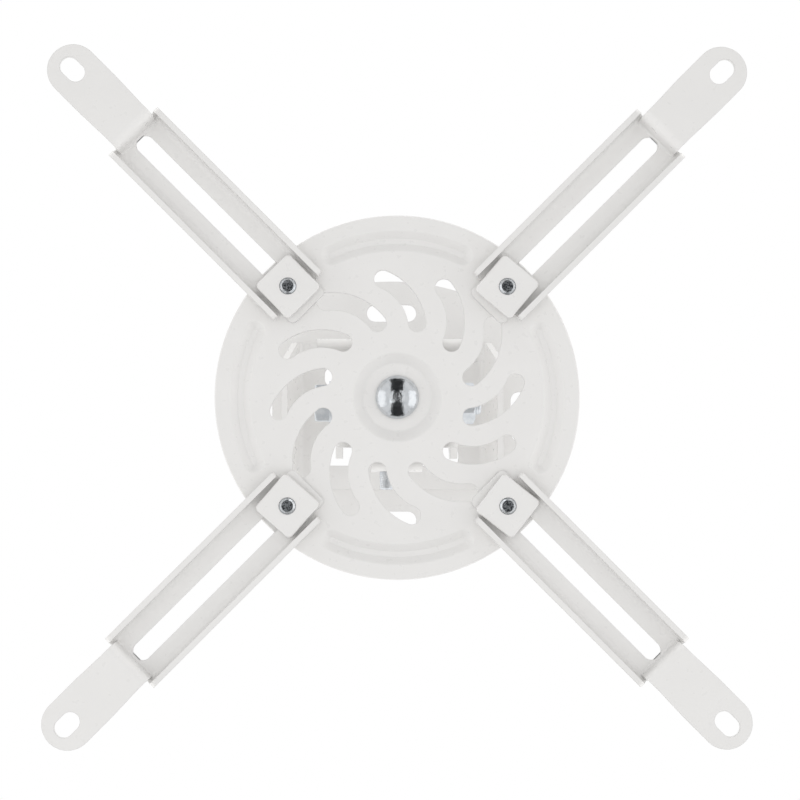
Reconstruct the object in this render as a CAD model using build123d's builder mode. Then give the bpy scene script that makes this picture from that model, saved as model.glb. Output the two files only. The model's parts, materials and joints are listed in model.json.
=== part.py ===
"""Ceiling mount for a projector: plate, channel, post, tilting bracket, swivelling disc and four arms.

Millimetres, +Z up. The origin is the centre of the ceiling plate's top face.
The projector hangs below, so everything else has negative heights.
"""

import os
from math import atan2, cos, degrees, radians, sin, sqrt, tan

from build123d import *

os.makedirs("parts", exist_ok=True)

# Sizes of the whole mount
drop = 150.0  # ceiling face to the lower face of the projector tabs
hole_circle = 316.0  # largest diagonal between two projector holes

# Clearances shared by every fit
bolt_play = 0.2  # radial, bolt in a drilled hole
slot_play = 0.3  # each side, bolt in a slot it slides along
seat_play = 0.05  # between flat faces that turn or slide on each other
thread_play = 0.02  # radial, bolt in its own nut

# Ceiling plate
plate_width = 124.0
plate_depth = 109.6
plate_thickness = 2.5
plate_bow_radius = 93.0
plate_corner_radius = 12.0
front_slot_spacing = 83.8  # between the front and the rear screw slot
side_slot_spacing = 103.4  # between the left and the right screw slot
screw_slot_length = 20.0
screw_slot_width = 6.9
window_width = 54.0
window_depth = 8.0
window_spacing = 32.0
window_corner = 3.0

# Channel welded under the plate
channel_thickness = 2.5
channel_width = 74.0  # inside, where the flanges begin
channel_depth = 59.0
channel_bend_radius = 3.0
channel_height = 22.0  # flanges below the channel's base
channel_flare = 11.0  # degrees, flanges leaning outwards
channel_foot_depth = 39.4  # length of the flanges' lower edges

# Post: a strip folded into a U, hanging from the channel
post_thickness = 2.5
post_depth = 24.0
post_bend_radius = 2.5

# Tilt axis and the washers along it
tilt_axis_height = -98.0
tilt_bolt_radius = 4.0
tilt_bolt_length = 55.0
friction_washer_thickness = 1.5
friction_washer_radius = 11.0
side_washer_thickness = 1.0

# Tilt bracket
bracket_thickness = 2.5
bracket_width = 42.8
bracket_bend_radius = 1.5
bracket_rear = -20.9
bracket_front = 17.3
rear_strip_depth = 8.4
rear_flange_width = 56.0
rear_flange_height = 9.0
cheek_rear = -11.0
cheek_nose = 3.5  # how far the cheeks reach past the base's front edge
cheek_foot_height = 6.0
cheek_nose_height = 8.0
cheek_top_radius = 13.0
tongue_width = 18.0
tongue_front = 25.5
lip_height = 14.0
front_screw_offset = -3.5
front_screw_radius = 2.4
front_screw_height = 9.0  # above the bracket's lower face
front_screw_reach = 6.3

# Disc
disc_diameter = 126.5
disc_thickness = 2.0
disc_edge_radius = 0.5
dish_mouth_radius = 15.4
dish_floor_radius = 11.8
dish_depth = 2.6
dish_bend_radius = 1.2
bead_circle_radius = 54.4
bead_half_angle = 28.5
bead_width = 7.0
bead_floor_width = 2.0
bead_depth = 1.8
bead_edge_radius = 1.0
slot_count = 12
slot_width = 6.2
slot_inner_radius = 26.6
slot_inner_angle = 15.0
slot_outer_radius = 41.3
slot_sweep = 21.9
slot_bulge = 2.6
clamp_circle_radius = 53.5

# Swivel bolt and its stack
swivel_bolt_radius = 4.0
swivel_head_radius = 7.5
swivel_head_height = 4.4
swivel_head_rim = 0.9
swivel_washer_thickness = 1.6
swivel_washer_radius = 11.0
swivel_bolt_spare = 1.5  # length past the nut

# Arms
arm_thickness = 2.0
arm_width = 23.6
arm_bend_radius = 2.5
flange_height = 7.0
flange_start = -4.7
flange_end = 76.0
flange_corner_radius = 2.2
arm_inner_end = -10.4
arm_inner_width = 16.2
arm_inner_corner = 2.0
arm_slot_end = 73.3
step_height = 10.0
step_start = 74.6
step_run = 0.8
step_bend_radius = 1.2
step_overlap = 4.0  # flat part of the tab's strip inside the channel
step_relief = 0.5  # gap each side of the tab's waist
tab_width = 17.8
tab_waist = 17.0
tab_waist_at = 80.0
tab_full_at = 92.0
tab_tip_reach = 8.5
tab_hole_length = 9.6
tab_hole_width = 6.5

# Clamps
clamp_size = 16.2
clamp_thickness = 4.0
clamp_corner_radius = 1.7
clamp_edge_radius = 0.5
clamp_back_chamfer = 1.5
clamp_bolt_radius = 2.9
clamp_bolt_reach = 0.8
clamp_bolt_chamfer = 0.95
clamp_twists = (-7.0, -4.0, 0.5, -5.0)

# Bolt heads, nuts and washers
m8_across_flats = 13.0
m8_head_height = 5.3
m8_nut_height = 6.5
m8_lock_collar_height = 1.5
m8_lock_collar_radius = 5.9
m8_washer_radius = 8.0
m8_washer_thickness = 1.6
m6_across_flats = 10.0
m6_head_height = 4.0
m6_washer_radius = 6.0
m6_washer_thickness = 1.2
m5_across_flats = 8.0
m5_head_height = 3.5
bolt_end_chamfer = 0.6
hex_chamfer_share = 0.95  # flat circle left on a chamfered hexagon, over its width across flats

# Heights that follow from the sizes above
disc_low = -(drop - arm_thickness - step_height - seat_play)
disc_top = disc_low + disc_thickness
dish_low = disc_low + dish_depth
dish_top = dish_low + disc_thickness
bracket_low = dish_top + swivel_washer_thickness + seat_play
bracket_base_top = bracket_low + bracket_thickness
arm_low = disc_low - arm_thickness - seat_play
arm_top = arm_low + arm_thickness
clamp_low = arm_low - clamp_thickness
channel_base_low = -plate_thickness - channel_thickness
post_base_low = channel_base_low - post_thickness
cheek_outer = bracket_width / 2
cheek_inner = cheek_outer - bracket_thickness
cheek_top = tilt_axis_height + cheek_top_radius
cheek_front = bracket_front + cheek_nose
post_outer = cheek_inner - friction_washer_thickness - seat_play
tab_hole_at = hole_circle / 2 - clamp_circle_radius


def hexagon(across_flats, height, both_ends):
    """Hexagon standing on Z = 0 with its corners turned down at the top, or at both ends."""
    corner = across_flats / sqrt(3)
    flat = hex_chamfer_share * across_flats / 2
    fall = (corner - flat) * tan(radians(30))
    profile = [(0, 0), (corner, 0), (corner, height - fall), (flat, height), (0, height)]
    if both_ends:
        profile[1:2] = [(flat, 0), (corner, fall)]
    with BuildPart() as body:
        with BuildSketch():
            RegularPolygon(across_flats / 2, 6, major_radius=False)
        extrude(amount=height)
        with BuildSketch(Plane.XZ):
            with BuildLine():
                Polyline(*profile, close=True)
            make_face()
        revolve(axis=Axis.Z, mode=Mode.INTERSECT)
    return body.part


def ring(outer_radius, inner_radius, thickness):
    """Flat ring standing on Z = 0."""
    with BuildPart() as body:
        with BuildSketch():
            Circle(outer_radius)
            Circle(inner_radius, mode=Mode.SUBTRACT)
        extrude(amount=thickness)
    return body.part


# Ceiling plate: all four edges bowed, four screw slots and two cable windows
with BuildPart() as ceiling_plate:
    with BuildSketch(Plane.XY.offset(-plate_thickness)) as plate_outline:
        Rectangle(plate_width, plate_depth)
        for side in (1, -1):
            with Locations((0, side * (plate_depth / 2 - plate_bow_radius))):
                Circle(plate_bow_radius, mode=Mode.INTERSECT)
            with Locations((side * (plate_width / 2 - plate_bow_radius), 0)):
                Circle(plate_bow_radius, mode=Mode.INTERSECT)
        fillet(plate_outline.vertices(), plate_corner_radius)
        with GridLocations(0, front_slot_spacing, 1, 2):
            SlotOverall(screw_slot_length, screw_slot_width, mode=Mode.SUBTRACT)
        with GridLocations(side_slot_spacing, 0, 2, 1):
            SlotOverall(screw_slot_length, screw_slot_width, rotation=90, mode=Mode.SUBTRACT)
        with GridLocations(0, window_spacing, 1, 2):
            RectangleRounded(window_width, window_depth, window_corner, mode=Mode.SUBTRACT)
    extrude(amount=plate_thickness)

# Channel: flanges leaning outwards, their ends slanted, with the plate's two windows
flange_lean = channel_height * tan(radians(channel_flare))
channel_bottom = channel_base_low - channel_height
channel_mid = channel_width / 2 + channel_thickness / 2
with BuildPart() as channel:
    with BuildSketch(Plane.XZ.offset(-channel_depth / 2)) as channel_section:
        with BuildLine() as channel_fold:
            FilletPolyline(
                (-channel_mid - flange_lean, channel_bottom),
                (-channel_mid, channel_base_low + channel_thickness / 2),
                (channel_mid, channel_base_low + channel_thickness / 2),
                (channel_mid + flange_lean, channel_bottom),
                radius=channel_bend_radius + channel_thickness / 2,
            )
        trace(line_width=channel_thickness)
    extrude(amount=channel_depth)
    with BuildSketch(Plane.YZ.offset(-plate_width / 2)) as channel_ends:
        with BuildLine() as channel_end_edge:
            Polyline(
                (-channel_depth / 2, -plate_thickness),
                (-channel_depth / 2, channel_base_low - channel_bend_radius),
                (-channel_foot_depth / 2, channel_bottom - channel_thickness),
                (channel_foot_depth / 2, channel_bottom - channel_thickness),
                (channel_depth / 2, channel_base_low - channel_bend_radius),
                (channel_depth / 2, -plate_thickness),
                close=True,
            )
        make_face()
    extrude(amount=plate_width, mode=Mode.INTERSECT)
    with BuildSketch(Plane.XY.offset(channel_base_low)) as channel_windows:
        with GridLocations(0, window_spacing, 1, 2):
            RectangleRounded(window_width, window_depth, window_corner)
    extrude(amount=channel_thickness, mode=Mode.SUBTRACT)

# Post: base against the channel between the windows, two legs down to the tilt axis
post_mid = post_outer - post_thickness / 2
with BuildPart() as post:
    with BuildSketch(Plane.XZ.offset(-post_depth / 2)) as post_section:
        with BuildLine() as post_fold:
            FilletPolyline(
                (-post_mid, tilt_axis_height - post_depth / 2),
                (-post_mid, post_base_low + post_thickness / 2),
                (post_mid, post_base_low + post_thickness / 2),
                (post_mid, tilt_axis_height - post_depth / 2),
                radius=post_bend_radius + post_thickness / 2,
            )
        trace(line_width=post_thickness)
    extrude(amount=post_depth)
    with BuildSketch(Plane.YZ.offset(-post_outer)) as post_outline:
        with Locations((0, tilt_axis_height)):
            Rectangle(post_depth, channel_base_low - tilt_axis_height, align=(Align.CENTER, Align.MIN))
            Circle(post_depth / 2)
            Circle(tilt_bolt_radius + bolt_play, mode=Mode.SUBTRACT)
    extrude(amount=2 * post_outer, mode=Mode.INTERSECT)

# Base of the tilt bracket: rear flange and front lip folded up, then trimmed to its outline
base_half = cheek_outer - bracket_thickness - bracket_bend_radius
rear_strip_front = bracket_rear + rear_strip_depth
with BuildPart() as bracket_base:
    with BuildSketch(Plane.YZ.offset(-rear_flange_width / 2)) as base_section:
        with BuildLine() as base_fold:
            FilletPolyline(
                (bracket_rear + bracket_thickness / 2, bracket_low + rear_flange_height),
                (bracket_rear + bracket_thickness / 2, bracket_low + bracket_thickness / 2),
                (tongue_front - bracket_thickness / 2, bracket_low + bracket_thickness / 2),
                (tongue_front - bracket_thickness / 2, bracket_low + lip_height),
                radius=bracket_bend_radius + bracket_thickness / 2,
            )
        trace(line_width=bracket_thickness)
    extrude(amount=rear_flange_width)
    with BuildSketch(Plane.XY.offset(bracket_low)) as base_outline:
        with BuildLine() as base_edge:
            Polyline(
                (-rear_flange_width / 2, bracket_rear),
                (rear_flange_width / 2, bracket_rear),
                (rear_flange_width / 2, rear_strip_front),
                (base_half, rear_strip_front),
                (base_half, bracket_front),
                (tongue_width / 2, bracket_front),
                (tongue_width / 2, tongue_front),
                (-tongue_width / 2, tongue_front),
                (-tongue_width / 2, bracket_front),
                (-base_half, bracket_front),
                (-base_half, rear_strip_front),
                (-rear_flange_width / 2, rear_strip_front),
                close=True,
            )
        make_face()
    extrude(amount=max(lip_height, rear_flange_height), mode=Mode.INTERSECT)

# Tilt bracket: two cheeks outside the post's legs, joined by the base
cheek_mid = cheek_outer - bracket_thickness / 2
foot_top = bracket_low + cheek_foot_height
with BuildPart() as tilt_bracket:
    with BuildSketch(Plane.XZ.offset(-cheek_front)) as cheek_section:
        with BuildLine() as cheek_fold:
            FilletPolyline(
                (-cheek_mid, cheek_top),
                (-cheek_mid, bracket_low + bracket_thickness / 2),
                (cheek_mid, bracket_low + bracket_thickness / 2),
                (cheek_mid, cheek_top),
                radius=bracket_bend_radius + bracket_thickness / 2,
            )
        trace(line_width=bracket_thickness)
    extrude(amount=cheek_front - cheek_rear)
    with BuildSketch(Plane.YZ.offset(-cheek_outer)) as cheek_outline:
        with BuildLine() as cheek_edge:
            Polyline(
                (cheek_rear, bracket_low),
                (bracket_front, bracket_low),
                (bracket_front, foot_top),
                (cheek_front, foot_top + cheek_nose),
                (cheek_front, foot_top + cheek_nose + cheek_nose_height),
                (cheek_top_radius, tilt_axis_height),
                (cheek_rear, tilt_axis_height),
                close=True,
            )
        make_face()
        with Locations((0, tilt_axis_height)):
            Circle(cheek_top_radius)
            Circle(tilt_bolt_radius + bolt_play, mode=Mode.SUBTRACT)
    extrude(amount=bracket_width, mode=Mode.INTERSECT)
    add(bracket_base.part)
    with BuildSketch(Plane.XY.offset(bracket_low)) as swivel_bore:
        Circle(swivel_bolt_radius + bolt_play)
    extrude(amount=bracket_thickness, mode=Mode.SUBTRACT)
    with BuildSketch(Plane.XZ.offset(-tongue_front)) as lip_hole:
        with Locations((front_screw_offset, bracket_low + front_screw_height)):
            Circle(front_screw_radius + thread_play)
    extrude(amount=bracket_thickness, mode=Mode.SUBTRACT)

# Nylon washers on the tilt axis: two between the legs and the cheeks, two outside
friction_ring = ring(friction_washer_radius, tilt_bolt_radius + bolt_play, friction_washer_thickness)
side_ring = ring(m8_washer_radius, tilt_bolt_radius + bolt_play, side_washer_thickness)
with BuildPart() as friction_washer_right:
    with Locations(Location((cheek_inner - friction_washer_thickness, 0, tilt_axis_height), (0, 90, 0))):
        add(friction_ring)
with BuildPart() as friction_washer_left:
    with Locations(Location((friction_washer_thickness - cheek_inner, 0, tilt_axis_height), (0, -90, 0))):
        add(friction_ring)
with BuildPart() as side_washer_right:
    with Locations(Location((cheek_outer, 0, tilt_axis_height), (0, 90, 0))):
        add(side_ring)
with BuildPart() as side_washer_left:
    with Locations(Location((-cheek_outer, 0, tilt_axis_height), (0, -90, 0))):
        add(side_ring)

# Tilt bolt from the left side through everything, its washer, and the nut on the right side
tilt_stack = cheek_outer + side_washer_thickness
tilt_head_seat = -tilt_stack - m8_washer_thickness
with BuildPart() as tilt_bolt:
    with BuildSketch(Plane.YZ.offset(tilt_head_seat)) as tilt_shank:
        with Locations((0, tilt_axis_height)):
            Circle(tilt_bolt_radius)
    extrude(amount=tilt_bolt_length)
    chamfer(tilt_bolt.edges().group_by(Axis.X)[-1], bolt_end_chamfer)
    with Locations(Location((tilt_head_seat, 0, tilt_axis_height), (0, -90, 0))):
        add(hexagon(m8_across_flats, m8_head_height, False))
with BuildPart() as tilt_washer:
    with Locations(Location((-tilt_stack, 0, tilt_axis_height), (0, -90, 0))):
        add(ring(m8_washer_radius, tilt_bolt_radius + bolt_play, m8_washer_thickness))
with BuildPart() as tilt_nut:
    with Locations(Location((tilt_stack, 0, tilt_axis_height), (0, 90, 0))):
        add(hexagon(m8_across_flats, m8_nut_height, True), rotation=(0, 0, 30))
    with BuildSketch(Plane.YZ.offset(tilt_stack)) as tilt_nut_bore:
        with Locations((0, tilt_axis_height)):
            Circle(tilt_bolt_radius + thread_play)
    extrude(amount=m8_nut_height, mode=Mode.SUBTRACT)

# Front screw through the bracket's lip, its head on the inner side
lip_inner = tongue_front - bracket_thickness
front_screw_level = bracket_low + front_screw_height
with BuildPart() as front_screw:
    with Locations(Location((front_screw_offset, lip_inner, front_screw_level), (90, 0, 0))):
        add(hexagon(m5_across_flats, m5_head_height, False))
    with BuildSketch(Plane.XZ.offset(-tongue_front - front_screw_reach)) as screw_shank:
        with Locations((front_screw_offset, front_screw_level)):
            Circle(front_screw_radius)
    extrude(amount=bracket_thickness + front_screw_reach)
    chamfer(front_screw.edges().group_by(Axis.Y)[-1], bolt_end_chamfer)

# Swivel bolt: domed head in the dish, shank up through the bracket
swivel_nut_low = bracket_base_top + swivel_washer_thickness
swivel_nut_top = swivel_nut_low + m8_nut_height + m8_lock_collar_height
swivel_bolt_end = swivel_nut_top + swivel_bolt_spare
head_low = dish_low - swivel_head_height
with BuildPart() as swivel_bolt:
    with BuildSketch(Plane.XZ) as swivel_profile:
        with BuildLine() as swivel_edge:
            dome_height = swivel_head_height - seat_play - swivel_head_rim
            dome_radius = (swivel_head_radius**2 + dome_height**2) / (2 * dome_height)
            rim_low = head_low + dome_height
            Line((0, head_low), (0, swivel_bolt_end))
            Line((0, swivel_bolt_end), (swivel_bolt_radius - bolt_end_chamfer, swivel_bolt_end))
            Line(
                (swivel_bolt_radius - bolt_end_chamfer, swivel_bolt_end),
                (swivel_bolt_radius, swivel_bolt_end - bolt_end_chamfer),
            )
            Line(
                (swivel_bolt_radius, swivel_bolt_end - bolt_end_chamfer),
                (swivel_bolt_radius, dish_low - seat_play),
            )
            Line(
                (swivel_bolt_radius, dish_low - seat_play),
                (swivel_head_radius, dish_low - seat_play),
            )
            Line((swivel_head_radius, dish_low - seat_play), (swivel_head_radius, rim_low))
            RadiusArc((swivel_head_radius, rim_low), (0, head_low), dome_radius)
        make_face()
    revolve(axis=Axis.Z)
with BuildPart() as swivel_washer_lower:
    with Locations((0, 0, dish_top + seat_play)):
        add(ring(swivel_washer_radius, swivel_bolt_radius + bolt_play, swivel_washer_thickness))
with BuildPart() as swivel_washer_upper:
    with Locations((0, 0, bracket_base_top)):
        add(ring(m8_washer_radius, swivel_bolt_radius + bolt_play, swivel_washer_thickness))
with BuildPart() as swivel_nut:
    with Locations((0, 0, swivel_nut_low)):
        add(hexagon(m8_across_flats, m8_nut_height, True))
    with Locations((0, 0, swivel_nut_low + m8_nut_height)):
        add(ring(m8_lock_collar_radius, swivel_bolt_radius + thread_play, m8_lock_collar_height))
    with BuildSketch(Plane.XY.offset(swivel_nut_low)) as swivel_nut_bore:
        Circle(swivel_bolt_radius + thread_play)
    extrude(amount=m8_nut_height, mode=Mode.SUBTRACT)
    fillet(swivel_nut.edges().group_by(Axis.Z)[-1].sort_by(Edge.length)[-1], m8_lock_collar_height / 2)

# Disc: pressed sheet with a dish, four beads, twelve curved slots and four bolt holes
dish_slope = atan2(dish_depth, dish_mouth_radius - dish_floor_radius)
dish_shift = disc_thickness * tan(dish_slope / 2)
bead_slope = atan2(bead_depth, (bead_width - bead_floor_width) / 2)
bead_shift = disc_thickness * tan(bead_slope / 2)
bead_arc_half = bead_half_angle - degrees(bead_width / 2 / bead_circle_radius)
bead_start_plane = Plane(
    origin=(0, 0, 0),
    x_dir=(cos(radians(-bead_arc_half)), sin(radians(-bead_arc_half)), 0),
    z_dir=(sin(radians(-bead_arc_half)), -cos(radians(-bead_arc_half)), 0),
)
bead_ends = [
    (bead_circle_radius * cos(radians(a)), bead_circle_radius * sin(radians(a)))
    for a in (-bead_arc_half, bead_arc_half)
]
ridge_foot = bead_width / 2 + bead_shift
ridge_crest = bead_floor_width / 2 + bead_shift
with BuildPart() as bead_ridge:
    with BuildSketch(bead_start_plane) as ridge_section:
        with BuildLine() as ridge_edge:
            Polyline(
                (bead_circle_radius - ridge_foot, disc_top),
                (bead_circle_radius - ridge_crest, disc_top + bead_depth),
                (bead_circle_radius + ridge_crest, disc_top + bead_depth),
                (bead_circle_radius + ridge_foot, disc_top),
                close=True,
            )
        make_face()
    revolve(axis=Axis.Z, revolution_arc=2 * bead_arc_half)
    with Locations(*[(x, y, disc_top) for x, y in bead_ends]):
        Cone(ridge_foot, ridge_crest, bead_depth, align=(Align.CENTER, Align.CENTER, Align.MIN))
with BuildPart() as bead_groove:
    with BuildSketch(bead_start_plane) as groove_section:
        with BuildLine() as groove_edge:
            Polyline(
                (bead_circle_radius - bead_width / 2, disc_low),
                (bead_circle_radius - bead_floor_width / 2, disc_low + bead_depth),
                (bead_circle_radius + bead_floor_width / 2, disc_low + bead_depth),
                (bead_circle_radius + bead_width / 2, disc_low),
                close=True,
            )
        make_face()
    revolve(axis=Axis.Z, revolution_arc=2 * bead_arc_half)
    with Locations(*[(x, y, disc_low) for x, y in bead_ends]):
        Cone(
            bead_width / 2,
            bead_floor_width / 2,
            bead_depth,
            align=(Align.CENTER, Align.CENTER, Align.MIN),
        )
with BuildPart() as disc:
    with BuildSketch(Plane.XZ) as disc_profile:
        with BuildLine() as disc_edge:
            Polyline(
                (0, dish_low),
                (dish_floor_radius, dish_low),
                (dish_mouth_radius, disc_low),
                (disc_diameter / 2, disc_low),
                (disc_diameter / 2, disc_top),
                (dish_mouth_radius + dish_shift, disc_top),
                (dish_floor_radius + dish_shift, dish_top),
                (0, dish_top),
                close=True,
            )
        make_face()
        corners = disc_profile.vertices().sort_by(Axis.X)
        fillet(corners[2:6], dish_bend_radius)
        rim = disc_profile.vertices().sort_by(Axis.X)[-2:]
        fillet(rim, disc_edge_radius)
    revolve(axis=Axis.Z)
    with PolarLocations(0, 4):
        add(bead_ridge.part)
    with PolarLocations(0, 4):
        add(bead_groove.part, mode=Mode.SUBTRACT)
    bead_mouths = [
        edge
        for edge in disc.edges().group_by(Axis.Z)[0]
        if abs(Vector((edge @ 0.5).X, (edge @ 0.5).Y).length - bead_circle_radius) < bead_width
    ]
    fillet(bead_mouths, bead_edge_radius)
    with BuildSketch(Plane.XY.offset(disc_low)) as disc_holes:
        with BuildLine(mode=Mode.PRIVATE) as slot_path:
            inner_angle = radians(slot_inner_angle)
            outer_angle = radians(slot_inner_angle - slot_sweep)
            slot_from = Vector(cos(inner_angle), sin(inner_angle)) * slot_inner_radius
            slot_to = Vector(cos(outer_angle), sin(outer_angle)) * slot_outer_radius
            slot_run = (slot_to - slot_from).normalized()
            slot_side = Vector(-slot_run.Y, slot_run.X)
            slot_middle = (slot_from + slot_to) * 0.5 + slot_side * slot_bulge
            ThreePointArc(slot_from, slot_middle, slot_to)
        with PolarLocations(0, slot_count):
            SlotArc(slot_path.edges()[0], slot_width)
        with PolarLocations(clamp_circle_radius, 4, start_angle=45):
            Circle(clamp_bolt_radius + bolt_play)
        Circle(swivel_bolt_radius + bolt_play)
    extrude(amount=disc_thickness + dish_depth, mode=Mode.SUBTRACT)

# One arm lying along +X, turned into its four places below
arm_fold_half = (arm_width - arm_thickness) / 2
arm_middle = arm_low + arm_thickness / 2
tab_tip = clamp_circle_radius + tab_hole_at + tab_tip_reach
with BuildPart() as arm_tab:
    with BuildSketch(Plane.XZ.offset(-tab_width)) as step_section:
        with BuildLine() as step_fold:
            FilletPolyline(
                (clamp_circle_radius + step_start - step_overlap, arm_middle),
                (clamp_circle_radius + step_start, arm_middle),
                (clamp_circle_radius + step_start + step_run, arm_middle - step_height),
                (tab_tip + arm_thickness, arm_middle - step_height),
                radius=step_bend_radius + arm_thickness / 2,
            )
        trace(line_width=arm_thickness)
    extrude(amount=2 * tab_width)
    with BuildSketch(Plane.XY.offset(arm_low - step_height)) as tab_outline:
        with BuildLine() as tab_edge:
            tab_end = tab_tip - tab_width / 2
            Polyline(
                (tab_end, tab_width / 2),
                (clamp_circle_radius + tab_full_at, tab_width / 2),
                (clamp_circle_radius + tab_waist_at, tab_waist / 2),
                (clamp_circle_radius + step_start - step_overlap, tab_waist / 2),
                (clamp_circle_radius + step_start - step_overlap, -tab_waist / 2),
                (clamp_circle_radius + tab_waist_at, -tab_waist / 2),
                (clamp_circle_radius + tab_full_at, -tab_width / 2),
                (tab_end, -tab_width / 2),
            )
            ThreePointArc((tab_end, -tab_width / 2), (tab_tip, 0), (tab_end, tab_width / 2))
        make_face()
        with Locations((clamp_circle_radius + tab_hole_at, 0)):
            SlotOverall(tab_hole_length, tab_hole_width, mode=Mode.SUBTRACT)
    extrude(amount=step_height + arm_thickness, mode=Mode.INTERSECT)
with BuildPart() as arm_shape:
    with BuildSketch(Plane.YZ.offset(clamp_circle_radius + flange_start)) as arm_section:
        with BuildLine() as arm_fold:
            FilletPolyline(
                (-arm_fold_half, arm_top - flange_height),
                (-arm_fold_half, arm_middle),
                (arm_fold_half, arm_middle),
                (arm_fold_half, arm_top - flange_height),
                radius=arm_bend_radius + arm_thickness / 2,
            )
        trace(line_width=arm_thickness)
    extrude(amount=flange_end - flange_start)
    flange_tips = arm_shape.edges().filter_by(Axis.Y).group_by(Axis.Z)[0]
    fillet(flange_tips, flange_corner_radius)
    with BuildSketch(Plane.XY.offset(arm_low)) as step_gap:
        with Locations((clamp_circle_radius + step_start - step_overlap / 2, 0)):
            Rectangle(arm_width / 2, tab_waist + 2 * step_relief, align=(Align.MIN, Align.CENTER))
    extrude(amount=arm_thickness, mode=Mode.SUBTRACT)
    with BuildSketch(Plane.XY.offset(arm_low)) as inner_end:
        with Locations((clamp_circle_radius + arm_inner_end, 0)):
            Rectangle(
                flange_start - arm_inner_end + arm_thickness,
                arm_inner_width,
                align=(Align.MIN, Align.CENTER),
            )
        fillet(inner_end.vertices().group_by(Axis.X)[0], arm_inner_corner)
    extrude(amount=arm_thickness)
    add(arm_tab.part)
    with BuildSketch(Plane.XY.offset(arm_low)) as arm_slot:
        slot_radius = clamp_bolt_radius + slot_play
        with Locations((clamp_circle_radius + (arm_slot_end - slot_radius) / 2, 0)):
            SlotOverall(arm_slot_end + slot_radius, 2 * slot_radius)
    extrude(amount=arm_thickness, mode=Mode.SUBTRACT)
with BuildPart() as arm_1:
    add(arm_shape.part, rotation=(0, 0, 45))
with BuildPart() as arm_2:
    add(arm_shape.part, rotation=(0, 0, 135))
with BuildPart() as arm_3:
    add(arm_shape.part, rotation=(0, 0, 225))
with BuildPart() as arm_4:
    add(arm_shape.part, rotation=(0, 0, 315))

# One clamp: square plate in the channel, bolt and washer, centred on its bolt
with BuildPart() as clamp_shape:
    with BuildSketch(Plane.XY.offset(clamp_low - seat_play)) as clamp_outline:
        RectangleRounded(clamp_size, clamp_size, clamp_corner_radius)
    extrude(amount=clamp_thickness)
    fillet(clamp_shape.edges().group_by(Axis.Z)[0], clamp_edge_radius)
    chamfer(clamp_shape.edges().group_by(Axis.Z)[-1], clamp_back_chamfer)
    with BuildSketch(Plane.XY.offset(clamp_low - seat_play)) as clamp_hole:
        Circle(clamp_bolt_radius + thread_play)
    extrude(amount=clamp_thickness, mode=Mode.SUBTRACT)
clamp_bolt_low = clamp_low - clamp_bolt_reach
clamp_head_seat = disc_top + seat_play + m6_washer_thickness
with BuildPart() as clamp_bolt_shape:
    with BuildSketch(Plane.XY.offset(clamp_bolt_low)) as clamp_shank:
        Circle(clamp_bolt_radius)
    extrude(amount=clamp_head_seat - clamp_bolt_low)
    chamfer(clamp_bolt_shape.edges().group_by(Axis.Z)[0], clamp_bolt_chamfer)
    with Locations((0, 0, clamp_head_seat)):
        add(hexagon(m6_across_flats, m6_head_height, False))
with BuildPart() as clamp_washer_shape:
    with Locations((0, 0, disc_top + seat_play)):
        add(ring(m6_washer_radius, clamp_bolt_radius + bolt_play, m6_washer_thickness))

# The four clamps, each square turned a little in its channel
arm_angles = (45, 135, 225, 315)
clamp_spots = [
    Location((0, 0, 0), (0, 0, angle)) * Location((clamp_circle_radius, 0, 0)) for angle in arm_angles
]
with BuildPart() as clamp_plate_1:
    with Locations(clamp_spots[0]):
        add(clamp_shape.part, rotation=(0, 0, clamp_twists[0]))
with BuildPart() as clamp_plate_2:
    with Locations(clamp_spots[1]):
        add(clamp_shape.part, rotation=(0, 0, clamp_twists[1]))
with BuildPart() as clamp_plate_3:
    with Locations(clamp_spots[2]):
        add(clamp_shape.part, rotation=(0, 0, clamp_twists[2]))
with BuildPart() as clamp_plate_4:
    with Locations(clamp_spots[3]):
        add(clamp_shape.part, rotation=(0, 0, clamp_twists[3]))
with BuildPart() as clamp_bolt_1:
    with Locations(clamp_spots[0]):
        add(clamp_bolt_shape.part)
with BuildPart() as clamp_bolt_2:
    with Locations(clamp_spots[1]):
        add(clamp_bolt_shape.part)
with BuildPart() as clamp_bolt_3:
    with Locations(clamp_spots[2]):
        add(clamp_bolt_shape.part)
with BuildPart() as clamp_bolt_4:
    with Locations(clamp_spots[3]):
        add(clamp_bolt_shape.part)
with BuildPart() as clamp_washer_1:
    with Locations(clamp_spots[0]):
        add(clamp_washer_shape.part)
with BuildPart() as clamp_washer_2:
    with Locations(clamp_spots[1]):
        add(clamp_washer_shape.part)
with BuildPart() as clamp_washer_3:
    with Locations(clamp_spots[2]):
        add(clamp_washer_shape.part)
with BuildPart() as clamp_washer_4:
    with Locations(clamp_spots[3]):
        add(clamp_washer_shape.part)

# Labels and files
ceiling_plate.part.label = "ceiling_plate"
export_step(ceiling_plate.part, "parts/ceiling_plate.step")
channel.part.label = "channel"
export_step(channel.part, "parts/channel.step")
post.part.label = "post"
export_step(post.part, "parts/post.step")
tilt_bracket.part.label = "tilt_bracket"
export_step(tilt_bracket.part, "parts/tilt_bracket.step")
friction_washer_left.part.label = "friction_washer_left"
export_step(friction_washer_left.part, "parts/friction_washer_left.step")
friction_washer_right.part.label = "friction_washer_right"
export_step(friction_washer_right.part, "parts/friction_washer_right.step")
side_washer_left.part.label = "side_washer_left"
export_step(side_washer_left.part, "parts/side_washer_left.step")
side_washer_right.part.label = "side_washer_right"
export_step(side_washer_right.part, "parts/side_washer_right.step")
tilt_bolt.part.label = "tilt_bolt"
export_step(tilt_bolt.part, "parts/tilt_bolt.step")
tilt_washer.part.label = "tilt_washer"
export_step(tilt_washer.part, "parts/tilt_washer.step")
tilt_nut.part.label = "tilt_nut"
export_step(tilt_nut.part, "parts/tilt_nut.step")
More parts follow.
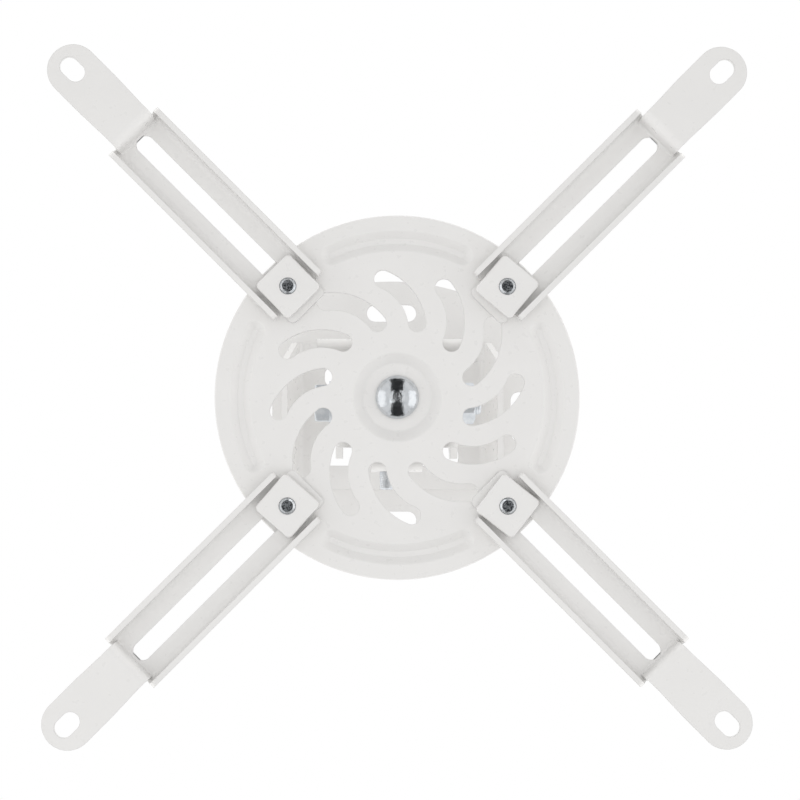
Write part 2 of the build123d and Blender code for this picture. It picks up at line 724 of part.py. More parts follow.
front_screw.part.label = "front_screw"
export_step(front_screw.part, "parts/front_screw.step")
swivel_bolt.part.label = "swivel_bolt"
export_step(swivel_bolt.part, "parts/swivel_bolt.step")
swivel_washer_lower.part.label = "swivel_washer_lower"
export_step(swivel_washer_lower.part, "parts/swivel_washer_lower.step")
swivel_washer_upper.part.label = "swivel_washer_upper"
export_step(swivel_washer_upper.part, "parts/swivel_washer_upper.step")
swivel_nut.part.label = "swivel_nut"
export_step(swivel_nut.part, "parts/swivel_nut.step")
disc.part.label = "disc"
export_step(disc.part, "parts/disc.step")
arm_1.part.label = "arm_1"
export_step(arm_1.part, "parts/arm_1.step")
arm_2.part.label = "arm_2"
export_step(arm_2.part, "parts/arm_2.step")
arm_3.part.label = "arm_3"
export_step(arm_3.part, "parts/arm_3.step")
arm_4.part.label = "arm_4"
export_step(arm_4.part, "parts/arm_4.step")
clamp_plate_1.part.label = "clamp_plate_1"
export_step(clamp_plate_1.part, "parts/clamp_plate_1.step")
clamp_plate_2.part.label = "clamp_plate_2"
export_step(clamp_plate_2.part, "parts/clamp_plate_2.step")
clamp_plate_3.part.label = "clamp_plate_3"
export_step(clamp_plate_3.part, "parts/clamp_plate_3.step")
clamp_plate_4.part.label = "clamp_plate_4"
export_step(clamp_plate_4.part, "parts/clamp_plate_4.step")
clamp_bolt_1.part.label = "clamp_bolt_1"
export_step(clamp_bolt_1.part, "parts/clamp_bolt_1.step")
clamp_bolt_2.part.label = "clamp_bolt_2"
export_step(clamp_bolt_2.part, "parts/clamp_bolt_2.step")
clamp_bolt_3.part.label = "clamp_bolt_3"
export_step(clamp_bolt_3.part, "parts/clamp_bolt_3.step")
clamp_bolt_4.part.label = "clamp_bolt_4"
export_step(clamp_bolt_4.part, "parts/clamp_bolt_4.step")
clamp_washer_1.part.label = "clamp_washer_1"
export_step(clamp_washer_1.part, "parts/clamp_washer_1.step")
clamp_washer_2.part.label = "clamp_washer_2"
export_step(clamp_washer_2.part, "parts/clamp_washer_2.step")
clamp_washer_3.part.label = "clamp_washer_3"
export_step(clamp_washer_3.part, "parts/clamp_washer_3.step")
clamp_washer_4.part.label = "clamp_washer_4"
export_step(clamp_washer_4.part, "parts/clamp_washer_4.step")
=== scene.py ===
# %% [markdown]
# # A projector ceiling mount, seen from below
#
# The mount hangs from a ceiling, and a projector is screwed to the tabs of its four arms.
# Its sheet-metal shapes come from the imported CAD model, loaded here as a fixed frame in metres.
# Blender adds what the solids leave out: finishes, threads, weld runs, light and the camera.

# %% Load the frame
import json
import math

import bmesh
import bpy
from mathutils import Matrix, Vector


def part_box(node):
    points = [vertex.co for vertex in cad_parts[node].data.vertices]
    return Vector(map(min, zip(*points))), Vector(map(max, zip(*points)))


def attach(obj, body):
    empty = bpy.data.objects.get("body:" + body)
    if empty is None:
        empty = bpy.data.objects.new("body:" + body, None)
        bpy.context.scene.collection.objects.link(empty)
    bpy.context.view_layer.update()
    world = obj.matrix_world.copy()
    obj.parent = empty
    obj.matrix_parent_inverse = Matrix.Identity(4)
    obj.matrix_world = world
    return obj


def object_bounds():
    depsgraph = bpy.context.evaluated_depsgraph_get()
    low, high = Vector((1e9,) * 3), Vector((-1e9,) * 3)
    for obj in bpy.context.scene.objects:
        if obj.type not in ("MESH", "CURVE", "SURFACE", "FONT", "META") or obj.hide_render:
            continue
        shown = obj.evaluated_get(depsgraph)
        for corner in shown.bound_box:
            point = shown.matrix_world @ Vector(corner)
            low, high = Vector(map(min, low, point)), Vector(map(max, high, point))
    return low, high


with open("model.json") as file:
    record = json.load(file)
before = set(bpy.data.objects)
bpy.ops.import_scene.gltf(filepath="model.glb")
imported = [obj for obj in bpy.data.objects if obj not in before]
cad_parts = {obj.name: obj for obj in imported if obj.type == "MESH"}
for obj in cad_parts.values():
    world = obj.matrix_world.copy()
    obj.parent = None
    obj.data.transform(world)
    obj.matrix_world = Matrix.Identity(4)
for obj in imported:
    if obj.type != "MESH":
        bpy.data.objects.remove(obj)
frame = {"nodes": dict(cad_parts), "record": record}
nodes = frame["nodes"]
cad_low, cad_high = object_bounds()
scene = bpy.context.scene
print("CAD box in millimetres:", [round(1000 * (b - a), 1) for a, b in zip(cad_low, cad_high)])

# %% [markdown]
# ## Measures taken from the frame
#
# Everything added later has to touch the solids, so its place is read from the nodes' own boxes.
# A small helper turns millimetres into metres, because a maker thinks of screws in millimetres.

# %% Measures
def mm(value):
    return value / 1000


disc_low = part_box("disc")[0].z
tilt_axis = (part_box("tilt_nut")[0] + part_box("tilt_nut")[1]) / 2
bolt_end_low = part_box("clamp_bolt_1")[0].z
print("lower face of the disc:", round(1000 * disc_low, 2), "mm")
print("tilt axis:", round(1000 * tilt_axis.z, 2), "mm")

# %% [markdown]
# ## Camera
#
# The photograph was taken from the projector's side, so the camera stands under the disc and
# looks up. The ceiling plate behind the disc looks smaller than it is, and from how much smaller
# the distance follows. The plate also looks pushed a little aside, so the camera stood a few
# centimetres off the swivel axis.
# A camera looks along its own -Z axis: half a turn about X points it at the ceiling, with the
# mount's +X to the right and its +Y down, and two small turns aim it at the middle of the disc.

# %% Camera
camera_distance = 0.800
camera_aside = (mm(-14), mm(47))
aim = (mm(0.9), mm(1.1))  # the point of the disc that the camera looks at
picture_width = 0.2764  # what the picture spans at the disc's lower face
film_width = 36

camera = bpy.data.objects.new("camera_below", bpy.data.cameras.new("camera_below"))
scene.collection.objects.link(camera)
camera.location = (camera_aside[0], camera_aside[1], disc_low - camera_distance)
camera.rotation_euler = (
    math.pi + math.atan((camera_aside[1] - aim[1]) / camera_distance),
    math.atan((aim[0] - camera_aside[0]) / camera_distance),
    0,
)
camera.data.sensor_width = film_width
camera.data.lens = film_width * camera_distance / picture_width
camera.data.clip_end = 100
scene.camera = camera
print("lens:", round(camera.data.lens, 1), "mm")

# %% [markdown]
# ## Helpers for finishes
#
# Each finish is a node tree on a Principled shader. The helpers make nodes and fill their inputs,
# so that a finish reads as a list of what is done to the surface.
# Patterns are laid on Object coordinates: the pieces sit at the origin, so sizes are real ones.

# %% Finish helpers
mix_first, mix_second, mix_result = 6, 7, 2  # where a Mix node keeps its colours


def new_finish(name):
    finish = bpy.data.materials.new(name)
    finish.use_nodes = True
    return finish, finish.node_tree, finish.node_tree.nodes["Principled BSDF"]


def add_node(tree, kind, inputs=None, **settings):
    node = tree.nodes.new(kind)
    for key, value in settings.items():
        setattr(node, key, value)
    for key, value in (inputs or {}).items():
        if isinstance(value, bpy.types.NodeSocket):
            tree.links.new(value, node.inputs[key])
        else:
            node.inputs[key].default_value = value
    return node


def grain(tree, size, detail=2.0, roughness=0.5, stretch=(1, 1, 1)):
    place = add_node(tree, "ShaderNodeTexCoord")
    laid = add_node(
        tree, "ShaderNodeMapping", {"Vector": place.outputs["Object"], "Scale": stretch}
    )
    noise = add_node(
        tree,
        "ShaderNodeTexNoise",
        {"Vector": laid.outputs[0], "Scale": 1 / size, "Detail": detail, "Roughness": roughness},
    )
    return noise.outputs["Fac"]


def spread(tree, value, low, high, start=0.3, stop=0.7):
    ranged = add_node(
        tree,
        "ShaderNodeMapRange",
        {"Value": value, "From Min": start, "From Max": stop, "To Min": low, "To Max": high},
    )
    return ranged.outputs[0]


def tint(tree, share, first, second):
    colours = [c if isinstance(c, bpy.types.NodeSocket) else (*c, 1) for c in (first, second)]
    mixed = add_node(
        tree,
        "ShaderNodeMix",
        {"Factor": share, mix_first: colours[0], mix_second: colours[1]},
        data_type="RGBA",
    )
    return mixed.outputs[mix_result]


def bump(tree, height, strength, distance, normal):
    raised = add_node(
        tree,
        "ShaderNodeBump",
        {"Height": height, "Strength": strength, "Distance": distance, "Normal": normal},
    )
    return raised.outputs[0]


def rounded_edges(tree, radius):
    return add_node(tree, "ShaderNodeBevel", {"Radius": radius}, samples=6).outputs[0]


def edge_share(tree, rounded):
    facing = add_node(tree, "ShaderNodeNewGeometry").outputs["Normal"]
    agree = add_node(
        tree, "ShaderNodeVectorMath", {0: rounded, 1: facing}, operation="DOT_PRODUCT"
    )
    return spread(tree, agree.outputs["Value"], 1.0, 0.0, 0.7, 0.99)


def source_of(shader, name):
    return shader.inputs[name].links[0].from_socket


print("colour sockets of a Mix node:", mix_first, mix_second, mix_result)

# %% [markdown]
# ## White powder coat
#
# The sheet parts are powder coated: a dry powder is melted on, which leaves a faint orange peel,
# rounds every sheared edge a little and lies thinner there, so edges look slightly greyer.
# A Bevel node rounds the edges for the light without changing the solids, and also finds them.
# The tone is a white that leans very slightly to cream, with broad, barely visible clouds.

# %% White powder coat
def powder_coat(name, tone, shade, thin_tone):
    finish, tree, shader = new_finish(name)
    edge_radius, cloud_size, gloss_size = mm(0.35), mm(14), mm(2.5)
    peel_size, peel_height, fine_size, fine_height = mm(1.1), mm(0.05), mm(0.3), mm(0.02)
    rounded = rounded_edges(tree, edge_radius)
    clouds = tint(tree, spread(tree, grain(tree, cloud_size, 3), 0.0, 1.0), tone, shade)
    thin = spread(tree, edge_share(tree, rounded), 0.0, 0.35, 0.0, 1.0)
    tree.links.new(tint(tree, thin, clouds, thin_tone), shader.inputs["Base Color"])
    gloss = spread(tree, grain(tree, gloss_size, 3), 0.26, 0.38)
    tree.links.new(gloss, shader.inputs["Roughness"])
    peel = bump(tree, grain(tree, peel_size, 2), 0.10, peel_height, rounded)
    fine = bump(tree, grain(tree, fine_size, 1), 0.08, fine_height, peel)
    tree.links.new(fine, shader.inputs["Normal"])
    return finish


white_coat = powder_coat(
    "white_powder_coat", (0.800, 0.791, 0.778), (0.785, 0.776, 0.763), (0.70, 0.70, 0.69)
)
print("finish:", white_coat.name)

# %% [markdown]
# ## Zinc plating
#
# Bolts, nuts and washers are zinc plated: a bluish metal whose gloss is slightly uneven.
# Fine turning marks are long thin grains, and blotches come from the passivation bath.
# Three finishes start from this tree. The tilt hardware was tumbled in a drum and is the dullest.

# %% Zinc plating
def zinc_finish(name, gloss_low, gloss_high):
    finish, tree, shader = new_finish(name)
    blotch_size, gloss_size, mark_size, mark_height = mm(2.2), mm(0.6), mm(0.5), mm(0.05)
    along_marks = (1, 1, 5)
    blotches = spread(tree, grain(tree, blotch_size, 4), 0.0, 1.0)
    metal = tint(tree, blotches, (0.62, 0.65, 0.68), (0.75, 0.77, 0.79))
    tree.links.new(metal, shader.inputs["Base Color"])
    shader.inputs["Metallic"].default_value = 1.0
    gloss = spread(tree, grain(tree, gloss_size, 4), gloss_low, gloss_high)
    tree.links.new(gloss, shader.inputs["Roughness"])
    rounded = rounded_edges(tree, mm(0.25))
    marks = bump(tree, grain(tree, mark_size, 3, 0.6, along_marks), 0.12, mark_height, rounded)
    tree.links.new(marks, shader.inputs["Normal"])
    return finish, tree, shader


tumbled_zinc, _, _ = zinc_finish("tumbled_zinc", 0.46, 0.60)
print("finish:", tumbled_zinc.name)

# %% [markdown]
# ## The domed bolt head
#
# The swivel bolt's head was pressed in a smooth die and is bright. The die left a stippled spot
# in the middle, and the plating runs in faint waves round it. Both are much finer than the
# head's own shape, so two bumps over the plain zinc are enough.
# The distance from the swivel axis tells where the spot is.

# %% Domed head
dome_zinc, dome_tree, dome_shader = zinc_finish("bright_zinc_dome", 0.10, 0.20)
spot_radius, stipple_size, wave_size = mm(2.0), mm(1.0), mm(2.4)
dome_place = add_node(dome_tree, "ShaderNodeTexCoord").outputs["Object"]
flat_place = add_node(
    dome_tree, "ShaderNodeVectorMath", {0: dome_place, 1: (1, 1, 0)}, operation="MULTIPLY"
).outputs[0]
from_axis = add_node(
    dome_tree, "ShaderNodeVectorMath", {0: flat_place}, operation="LENGTH"
).outputs["Value"]
in_spot = spread(dome_tree, from_axis, 1.0, 0.06, 0.8 * spot_radius, 1.3 * spot_radius)
stipple = add_node(
    dome_tree,
    "ShaderNodeMath",
    {0: in_spot, 1: grain(dome_tree, stipple_size, 3, 0.6)},
    operation="MULTIPLY",
).outputs[0]
pressed = bump(dome_tree, stipple, 0.8, mm(0.40), source_of(dome_shader, "Normal"))
waves = bump(dome_tree, grain(dome_tree, wave_size, 3), 0.5, mm(0.25), pressed)
dome_tree.links.new(waves, dome_shader.inputs["Normal"])
print("finish:", dome_zinc.name)

# %% [markdown]
# ## Dark bolt ends
#
# The clamp bolts' end faces look down at the camera. Their colour is painted near black with pale
# specks, which is a painted dark reflection, and the ends are duller than the zinc. The height
# tells
# where an end face is: within a tenth of a millimetre of the lowest point, the zinc gives way to
# the painted dark.

# %% Bolt ends with painted dark reflection
painted_dark_end_zinc, dark_end_tree, dark_end_shader = zinc_finish("zinc_with_painted_dark_end", 0.20, 0.34)
dark_below, zinc_above = bolt_end_low + mm(0.02), bolt_end_low + mm(0.10)
speck_size, end_roughness = mm(0.5), 0.5
end_place = add_node(dark_end_tree, "ShaderNodeTexCoord").outputs["Object"]
end_height = add_node(dark_end_tree, "ShaderNodeSeparateXYZ", {0: end_place}).outputs["Z"]
# The lowest tenth of a millimetre of the clamp bolts gets the painted dark reflection.
at_end = spread(dark_end_tree, end_height, 1.0, 0.0, dark_below, zinc_above)
speck_share = spread(dark_end_tree, grain(dark_end_tree, speck_size, 4), 0.0, 1.0, 0.4, 0.65)
# Near black with pale specks: the painted dark reflection on the bolt ends.
painted_reflection_tone = tint(dark_end_tree, speck_share, (0.06, 0.065, 0.07), (0.42, 0.44, 0.46))
painted_end_colour = tint(dark_end_tree, at_end, source_of(dark_end_shader, "Base Color"), painted_reflection_tone)
dark_end_tree.links.new(painted_end_colour, dark_end_shader.inputs["Base Color"])
dulled = add_node(
    dark_end_tree,
    "ShaderNodeMix",
    {"Factor": at_end, 2: source_of(dark_end_shader, "Roughness"), 3: end_roughness},
).outputs[0]
dark_end_tree.links.new(dulled, dark_end_shader.inputs["Roughness"])
print("finish:", painted_dark_end_zinc.name)

# %% [markdown]
# ## Nylon
#
# The washers on the tilt axis are stamped from nylon sheet: dull, a little yellowish and faintly
# mottled.

# %% Nylon
nylon, nylon_tree, nylon_shader = new_finish("stamped_nylon")
mottle_size, dull_size = mm(3), mm(0.8)
mottle = spread(nylon_tree, grain(nylon_tree, mottle_size, 3), 0.0, 1.0)
nylon_tone = tint(nylon_tree, mottle, (0.66, 0.65, 0.60), (0.72, 0.71, 0.66))
nylon_tree.links.new(nylon_tone, nylon_shader.inputs["Base Color"])
nylon_gloss = spread(nylon_tree, grain(nylon_tree, dull_size, 2), 0.50, 0.65)
nylon_tree.links.new(nylon_gloss, nylon_shader.inputs["Roughness"])
print("finish:", nylon.name)

# %% [markdown]
# ## Dressing the solids
#
# A CAD node keeps its mesh and only gets another material. The record says which slot each node
# belongs to, so the slot picks the finish. The clamp bolts and the domed swivel bolt get finishes
# of their own.

# %% Dress the solids
def dress(node, finish):
    node.data.materials.clear()
    node.data.materials.append(finish)


finish_of_slot = {"white_coat": white_coat, "zinc": tumbled_zinc, "nylon": nylon}
own_finish = {"swivel_bolt": dome_zinc}
own_finish.update({"clamp_bolt_%d" % k: painted_dark_end_zinc for k in range(1, 5)})
for part in frame["record"]["subparts"]:
    name = part["node"]
    dress(nodes[name], own_finish.get(name, finish_of_slot[part["material_slot"]]))
print("dressed", len(nodes), "solids")

# %% [markdown]
# ## A tree that makes screw threads
#
# The tilt bolt, the front screw and the tip of the swivel bolt are threaded, and the solids are
# plain rods. A thread could be swept along a helix, but a grid bent into a tube is simpler and
# closes well: one side of the grid runs along the screw, the other goes once round it.
# The radius rises and falls with the distance along minus the turn, which is just what a helix is.
# The tree's inputs are a screw's own sizes, so the same tree makes every thread.

# %% Tree helpers
def field_math(tree, operation, first, second=None):
    inputs = {0: first} if second is None else {0: first, 1: second}
    return add_node(tree, "ShaderNodeMath", inputs, operation=operation).outputs[0]


def new_tree(name, lengths, counts):
    tree = bpy.data.node_groups.new(name, "GeometryNodeTree")
    tree.interface.new_socket("Geometry", in_out="OUTPUT", socket_type="NodeSocketGeometry")
    for label in lengths:
        tree.interface.new_socket(label, in_out="INPUT", socket_type="NodeSocketFloat")
    for label in counts:
        tree.interface.new_socket(label, in_out="INPUT", socket_type="NodeSocketInt")
    return tree, tree.nodes.new("NodeGroupInput").outputs


def close_tree(tree, geometry, finish):
    real = add_node(tree, "GeometryNodeRealizeInstances", {"Geometry": geometry})
    coated = add_node(
        tree, "GeometryNodeSetMaterial", {"Geometry": real.outputs[0], "Material": finish}
    )
    tree.links.new(coated.outputs[0], tree.nodes.new("NodeGroupOutput").inputs[0])
    print(tree.name, "has", len(tree.nodes), "nodes")


# %% Thread tree
rows_per_pitch, columns = 14, 49
fade_pitches = 0.4  # the thread runs out over this share of a pitch
merge_distance = mm(0.0005)
thread_tree, size = new_tree("screw_thread", ("Radius", "Depth", "Pitch", "Length"), ("Rows",))


def thread_math(operation, first, second=None):
    return field_math(thread_tree, operation, first, second)


sheet = add_node(
    thread_tree,
    "GeometryNodeMeshGrid",
    {"Size X": 1, "Size Y": 1, "Vertices X": size["Rows"], "Vertices Y": columns},
)
grid_place = add_node(thread_tree, "GeometryNodeInputPosition").outputs[0]
spot = add_node(thread_tree, "ShaderNodeSeparateXYZ", {0: grid_place})
share_along = thread_math("ADD", spot.outputs["X"], 0.5)
share_round = thread_math("ADD", spot.outputs["Y"], 0.5)

# The first and last rows are drawn in to the axis, which closes the ends.
one_row = thread_math("DIVIDE", 1.0, thread_math("SUBTRACT", size["Rows"], 1.0))
last_row = thread_math("SUBTRACT", 1.0, one_row)
kept = add_node(
    thread_tree, "ShaderNodeClamp", {"Value": share_along, "Min": one_row, "Max": last_row}
).outputs[0]
off_end = thread_math("MINIMUM", share_along, thread_math("SUBTRACT", 1.0, share_along))
open_end = thread_math("GREATER_THAN", off_end, thread_math("MULTIPLY", one_row, 0.5))

along = thread_math("MULTIPLY", kept, size["Length"])
turns = thread_math("SUBTRACT", thread_math("DIVIDE", along, size["Pitch"]), share_round)
wave = thread_math("PINGPONG", turns, 0.5)
to_end = thread_math("MINIMUM", along, thread_math("SUBTRACT", size["Length"], along))
run_out = thread_math("MULTIPLY", size["Pitch"], fade_pitches)
fade = add_node(
    thread_tree, "ShaderNodeClamp", {"Value": thread_math("DIVIDE", to_end, run_out)}
).outputs[0]
rise = thread_math("MULTIPLY", thread_math("MULTIPLY", wave, 2.0), size["Depth"])
crest = thread_math("ADD", size["Radius"], thread_math("MULTIPLY", rise, fade))
reach = thread_math("MULTIPLY", crest, open_end)
angle = thread_math("MULTIPLY", share_round, math.tau)
bent = add_node(
    thread_tree,
    "ShaderNodeCombineXYZ",
    {
        "X": thread_math("MULTIPLY", reach, thread_math("COSINE", angle)),
        "Y": thread_math("MULTIPLY", reach, thread_math("SINE", angle)),
        "Z": along,
    },
).outputs[0]
tube = add_node(
    thread_tree, "GeometryNodeSetPosition", {"Geometry": sheet.outputs["Mesh"], "Position": bent}
).outputs[0]
closed = add_node(
    thread_tree, "GeometryNodeMergeByDistance", {"Geometry": tube, "Distance": merge_distance}
).outputs[0]
close_tree(thread_tree, closed, tumbled_zinc)

# %% [markdown]
# ## Growing a mesh from a tree
#
# A modifier's inputs are set by the identifier of each socket, before the object is first
# evaluated. The result is copied to a plain mesh and moved to its place on the mount, and all the
# threads that turn with one body are joined in one piece.
# Where a mesh comes out inside out, its volume is negative and it is turned.

# %% Grow and join
def grow(tree, sizes):
    seed_mesh = bpy.data.meshes.new("seed")
    seed = bpy.data.objects.new("seed", seed_mesh)
    scene.collection.objects.link(seed)
    modifier = seed.modifiers.new("tree", "NODES")
    modifier.node_group = tree
    for item in tree.interface.items_tree:
        if item.in_out == "INPUT" and item.name in sizes:
            modifier[item.identifier] = sizes[item.name]
    evaluated = seed.evaluated_get(bpy.context.evaluated_depsgraph_get())
    grown = bpy.data.meshes.new_from_object(evaluated)
    seed.modifiers.remove(modifier)
    bpy.data.objects.remove(seed)
    bpy.data.meshes.remove(seed_mesh)
    return grown


def join(name, finish, meshes, body, smooth=True):
    whole = bmesh.new()
    for mesh, place in meshes:
        mesh.transform(place)
        one = bmesh.new()
        one.from_mesh(mesh)
        bmesh.ops.dissolve_degenerate(one, dist=1e-8, edges=one.edges)
        if one.calc_volume(signed=True) < 0:
            bmesh.ops.reverse_faces(one, faces=one.faces)
        one.to_mesh(mesh)
        one.free()
        whole.from_mesh(mesh)
    for face in whole.faces:
        face.smooth = smooth
        face.material_index = 0
    joined = bpy.data.meshes.new(name)
    whole.to_mesh(joined)
    whole.free()
    joined.materials.append(finish)
    piece = bpy.data.objects.new(name, joined)
    scene.collection.objects.link(piece)
    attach(piece, body)
    print(name, "has", len(joined.polygons), "faces and rides", body)


# %% [markdown]
# ## Threads of the bracket's screws
#
# The tilt bolt shows its thread past the nut and between the post's legs, the front screw past the
# bracket's lip and the swivel bolt above its lock nut. An M8 thread has a pitch of 1.25 mm, and
# an M5 thread one of 0.8 mm. The root is sunk a little into the rod so that no gap shows, and
# each thread stops short of the screw's tip, which is chamfered.

# %% Threads of the bracket's screws
m8_sizes = (mm(4), mm(0.18), mm(1.25))  # radius, depth, pitch
m5_sizes = (mm(2.4), mm(0.14), mm(0.8))
root_sunk = mm(0.03)
fewest_rows = 6


def thread(radius, depth, pitch, start, end):
    span = end - start
    sizes = {
        "Radius": radius - root_sunk,
        "Depth": depth,
        "Pitch": pitch,
        "Length": span.length,
        "Rows": max(fewest_rows, round(rows_per_pitch * span.length / pitch)),
    }
    turned = span.to_track_quat("Z", "Y").to_matrix().to_4x4()
    return grow(thread_tree, sizes), Matrix.Translation(start) @ turned


post_sheet, thread_start = mm(2.5), mm(8)
bolt_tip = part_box("tilt_bolt")[1].x - mm(0.7)
nut_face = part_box("tilt_nut")[1].x
leg_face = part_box("post")[1].x - post_sheet
screw_low, screw_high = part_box("front_screw")
lip_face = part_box("tilt_bracket")[1].y
screw_x = mm(-3.5)
screw_z = (screw_low.z + screw_high.z) / 2
screw_tip = screw_high.y - mm(0.6)
swivel_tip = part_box("swivel_bolt")[1].z - mm(0.6)
nut_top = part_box("swivel_nut")[1].z
axis_z = tilt_axis.z
thread_ends = (
    (m8_sizes, (nut_face, 0, axis_z), (bolt_tip, 0, axis_z)),
    (m8_sizes, (thread_start, 0, axis_z), (leg_face, 0, axis_z)),
    (m5_sizes, (screw_x, lip_face, screw_z), (screw_x, screw_tip, screw_z)),
    (m8_sizes, (0, 0, nut_top), (0, 0, swivel_tip)),
)
threads = [thread(*sizes, Vector(start), Vector(end)) for sizes, start, end in thread_ends]
join("bracket_screw_threads", tumbled_zinc, threads, "tilt")

# %% [markdown]
# ## A tree that makes weld runs
#
# A weld run is a row of small overlapping scales, each a little different. One scale is set on
# every point of a line, turned and stretched by seeded random values, and the coat covers it
# like the rest.

# %% Weld tree
lean_most = (0.35, 0.35, 0.3)
stretch_least, stretch_most = (0.86, 0.62, 0.86), (1.10, 0.82, 1.10)
stretch_seed_step = 7
weld_tree, size = new_tree("weld_run", ("Length", "Radius", "Step"), ("Seed",))
row = add_node(
    weld_tree,
    "GeometryNodeMeshLine",
    {
        "Count": field_math(weld_tree, "DIVIDE", size["Length"], size["Step"]),
        "Offset": add_node(weld_tree, "ShaderNodeCombineXYZ", {"Y": size["Step"]}).outputs[0],
    },
)
scale_shape = add_node(
    weld_tree, "GeometryNodeMeshIcoSphere", {"Radius": size["Radius"], "Subdivisions": 2}
)
lean = add_node(
    weld_tree,
    "FunctionNodeRandomValue",
    {0: [-turn for turn in lean_most], 1: lean_most, "Seed": size["Seed"]},
    data_type="FLOAT_VECTOR",
)
stretch_seed = field_math(weld_tree, "ADD", size["Seed"], stretch_seed_step)
stretch = add_node(
    weld_tree,
    "FunctionNodeRandomValue",
    {0: stretch_least, 1: stretch_most, "Seed": stretch_seed},
    data_type="FLOAT_VECTOR",
)
scales = add_node(
    weld_tree,
    "GeometryNodeInstanceOnPoints",
    {
        "Points": row.outputs[0],
        "Instance": scale_shape.outputs[0],
        "Rotation": lean.outputs[0],
        "Scale": stretch.outputs[0],
    },
)
close_tree(weld_tree, scales.outputs[0], white_coat)

# %% [markdown]
# ## Weld runs of the ceiling body
#
# On each side two short runs hold the channel to the ceiling plate, and one holds the post to the
# channel. They lie in the corners of the bends, where a welder would reach. Each run's seed comes
# from its number and side, so two pairs of runs share one.

# %% Weld runs
plate_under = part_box("ceiling_plate")[0].z
channel_under = plate_under - mm(2.5)
below_face = mm(0.6)
flange_runs = {"Radius": mm(1.3), "Length": mm(14), "Step": mm(0.9)}
post_runs = {"Radius": mm(1.2), "Length": mm(16), "Step": mm(0.8)}
run_starts = (
    (flange_runs, mm(37.2), mm(-22), plate_under - below_face),
    (flange_runs, mm(37.2), mm(8), plate_under - below_face),
    (post_runs, mm(15.6), mm(-8), channel_under - below_face),
)
first_seed = 11
runs = []
for number, (run_sizes, x, y, z) in enumerate(run_starts):
    for side in (-1, 1):
        sizes = {**run_sizes, "Seed": first_seed + 2 * number + side}
        runs.append((grow(weld_tree, sizes), Matrix.Translation((side * x, y, z))))
join("weld_runs", white_coat, runs, "ceiling")

# %% [markdown]
# ## Lock ring
#
# The swivel bolt is held by a lock nut: a nylon ring in its collar grips the thread, so the disc
# can turn freely and the nut stays put. The ring is a small rounded profile spun once round the
# axis.

# %% Lock ring
ring_inner, ring_outer, ring_rise, ring_sunk = mm(4.03), mm(5.0), mm(0.22), mm(0.1)
profile = [
    (ring_inner, -ring_sunk),
    (ring_outer, -ring_sunk),
    (ring_outer, 0.4 * ring_rise),
    (ring_outer - mm(0.2), ring_rise),
    (ring_inner + mm(0.25), ring_rise),
    (ring_inner, 0.3 * ring_rise),
]
around = 64
ring_shape = bmesh.new()
loops = []
for k in range(around):
    turn = math.tau * k / around
    east, north = math.cos(turn), math.sin(turn)
    loops.append([ring_shape.verts.new((r * east, r * north, h)) for r, h in profile])
for k in range(around):
    here, there = loops[k], loops[(k + 1) % around]
    for i in range(len(profile)):
        j = (i + 1) % len(profile)
        ring_shape.faces.new((here[i], there[i], there[j], here[j]))
ring_mesh = bpy.data.meshes.new("ring")
ring_shape.to_mesh(ring_mesh)
ring_shape.free()
ring_place = Matrix.Translation((0, 0, nut_top))
join("swivel_lock_ring", nylon, [(ring_mesh, ring_place)], "tilt", smooth=False)

# %% [markdown]
# ## Floor and world
#
# The mount is lit as a small product is in a white tent: pale light comes from all round, so that
# even the plate behind the disc is bright. What the camera or a mirroring surface sees of the
# tent is plain white. The floor lies far below the camera and keeps the mount's shadow.

# %% Floor
floor_low, floor_size = disc_low - 1.35, 60
bpy.ops.mesh.primitive_plane_add(size=floor_size, location=(0, 0, floor_low))
floor = bpy.context.object
floor.name = "studio_floor"
pale, pale_tree, pale_shader = new_finish("pale_floor")
pale_clouds = spread(pale_tree, grain(pale_tree, 0.3, 2), 0.0, 1.0)
pale_tone = tint(pale_tree, pale_clouds, (0.86, 0.86, 0.86), (0.83, 0.83, 0.83))
pale_tree.links.new(pale_tone, pale_shader.inputs["Base Color"])
pale_shader.inputs["Roughness"].default_value = 0.9
floor.data.materials.append(pale)
print("floor at", round(floor_low, 3), "m")

# %% World
white, tent_strength, seen_strength = (1, 1, 1, 1), 0.94, 1.0
world = bpy.data.worlds.new("white_studio")
scene.world = world
world.use_nodes = True
sky = world.node_tree
tent_light = sky.nodes["Background"]
tent_light.inputs["Color"].default_value = white
tent_light.inputs["Strength"].default_value = tent_strength
seen_white = add_node(
    sky, "ShaderNodeBackground", {"Color": white, "Strength": seen_strength}
)
ray = add_node(sky, "ShaderNodeLightPath").outputs
seen = field_math(sky, "MAXIMUM", ray["Is Camera Ray"], ray["Is Glossy Ray"])
seen = field_math(sky, "MAXIMUM", seen, ray["Is Transmission Ray"])
either = add_node(
    sky, "ShaderNodeMixShader", {0: seen, 1: tent_light.outputs[0], 2: seen_white.outputs[0]}
)
sky.links.new(either.outputs[0], sky.nodes["World Output"].inputs["Surface"])
print("tent light:", tent_strength, "and seen as", seen_strength)

# %% [markdown]
# ## Lamps
#
# Two large soft boxes rake over the disc from the sides and bring out its beads and its dish.
# A fill from the camera's side lights what faces down, and four strip lights reach in between
# the ceiling plate and the disc.

# %% Lamps
def soft_box(name, place, target, width, height, power):
    lamp = bpy.data.objects.new(name, bpy.data.lights.new(name, "AREA"))
    scene.collection.objects.link(lamp)
    lamp.data.shape = "RECTANGLE"
    lamp.data.size = width
    lamp.data.size_y = height
    lamp.data.energy = power
    lamp.location = place
    away = lamp.location - target
    lamp.rotation_euler = away.to_track_quat("Z", "Y").to_euler()
    lamp.visible_camera = False


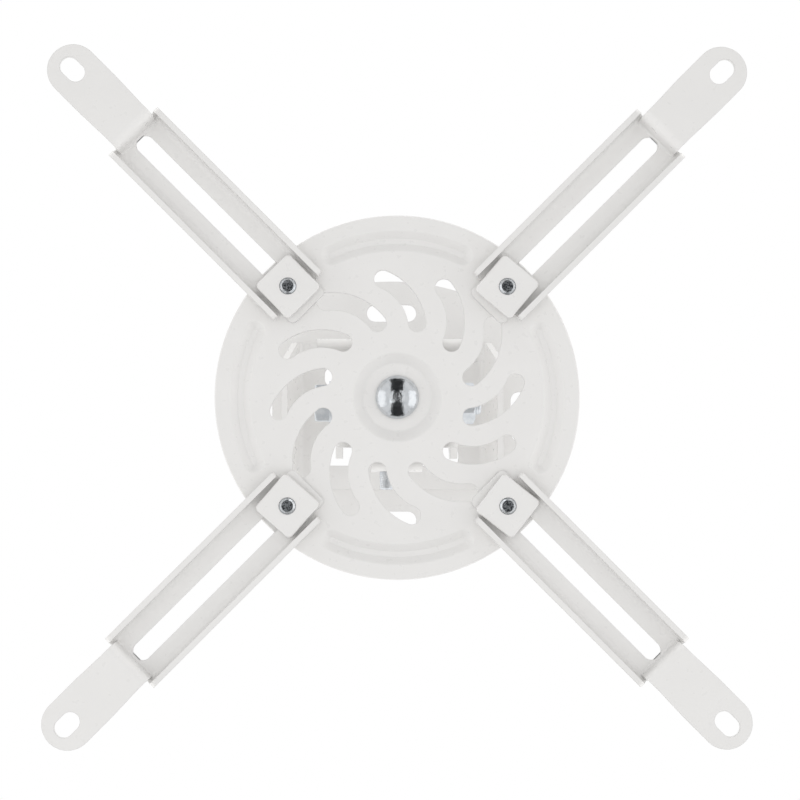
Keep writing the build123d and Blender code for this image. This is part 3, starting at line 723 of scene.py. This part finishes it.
middle = (cad_low + cad_high) / 2
box_size = 0.80
boxes = (
    ("left_soft_box", (-0.80, 0.05, -0.30), 0.8),
    ("right_soft_box", (0.80, 0.05, -0.30), 0.9),
    ("fill_box", (-0.05, 0.15, disc_low - 1.0), 1.9),
)
for name, place, power in boxes:
    soft_box(name, Vector(place), middle, box_size, box_size, power)

channel_middle = Vector((0, 0, -0.03))
strip_level, strip_long, strip_high = -0.11, 0.40, 0.05
strips = (
    (0.26, 0.41, 0.32),
    (-0.26, 0.41, 0.34),
    (-0.26, -0.41, 0.34),
    (0.26, -0.41, 0.32),
)
for number, (x, y, power) in enumerate(strips, 1):
    place = Vector((x, y, strip_level))
    soft_box("strip_light_%d" % number, place, channel_middle, strip_long, strip_high, power)

# %% [markdown]
# ## A dark card
#
# Polished metal only looks like metal when it has something dark to mirror. A long black card is
# bent round the mount, which draws the dark band down the domed bolt head. It is there for
# mirrored rays alone, so it takes no light from the coat and throws no shadow.

# %% Dark card
card_wide, card_away, card_steps = 0.72, 0.9, 24
card_reach = 86  # degrees up from straight below, on both sides
card_points = []
for k in range(card_steps + 1):
    turn = math.radians(-card_reach + 2 * card_reach * k / card_steps)
    y, z = card_away * math.sin(turn), disc_low - card_away * math.cos(turn)
    card_points += [(-0.5 * card_wide, y, z), (0.5 * card_wide, y, z)]
card_faces = [(2 * k, 2 * k + 1, 2 * k + 3, 2 * k + 2) for k in range(card_steps)]
card_mesh = bpy.data.meshes.new("dark_card")
card_mesh.from_pydata(card_points, [], card_faces)
card = bpy.data.objects.new("dark_card", card_mesh)
scene.collection.objects.link(card)
card_finish, card_tree, card_shader = new_finish("black_card")
card_tone = tint(card_tree, grain(card_tree, 0.05), (0.010, 0.010, 0.011), (0.020, 0.020, 0.021))
card_tree.links.new(card_tone, card_shader.inputs["Base Color"])
card_shader.inputs["Roughness"].default_value = 1.0
card_mesh.materials.append(card_finish)
card.visible_camera = False
card.visible_diffuse = False
card.visible_transmission = False
card.visible_shadow = False
print("dark card:", card_wide, "m wide,", card_away, "m away")

# %% [markdown]
# ## Colours as written
#
# The Standard view shows a colour about as it is written.

# %% Colours as written
scene.view_settings.view_transform = "Standard"
